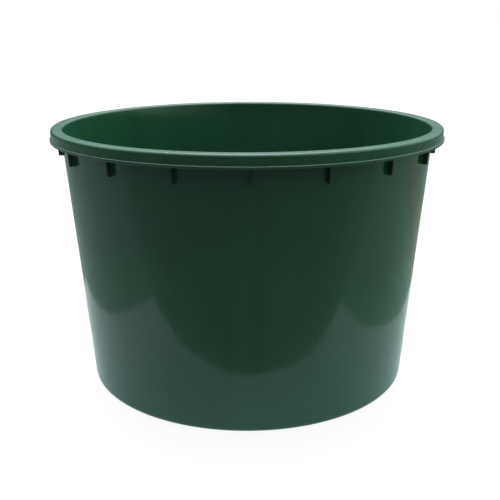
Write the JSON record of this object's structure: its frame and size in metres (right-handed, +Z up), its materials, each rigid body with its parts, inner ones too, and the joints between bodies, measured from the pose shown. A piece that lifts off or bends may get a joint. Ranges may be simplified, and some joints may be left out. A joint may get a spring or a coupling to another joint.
{
  "type": "mortar mixing tub",
  "caption": "Round tapered dark green plastic tub with a rolled, flat-topped rim carried on radial gussets, for mixing mortar.",
  "frame": {"origin": "on the ground, under the centre of the floor", "axes": "+Z up along the tub's axis; -Y through the middle of a long gusset; +X through the middle of a short web"},
  "size_m": [0.6159, 0.616, 0.409],
  "materials": {
    "tub_plastic": "satin",
    "rim_plastic": "satin",
    "rib_plastic": "satin"
  },
  "bodies": {
    "root": {"floor_plate": "tub_plastic", "gate_mark": "rib_plastic", "inner_foot_ring": "rib_plastic", "floor_ribs": "rib_plastic", "outer_foot_ring": "rib_plastic", "heel_ring": "tub_plastic", "side_wall": "tub_plastic", "rim_land": "rim_plastic", "rim_skirt": "rim_plastic", "rim_lip": "rim_plastic", "long_gussets": "rib_plastic", "short_webs": "rib_plastic"}
  },
  "joints": []
}
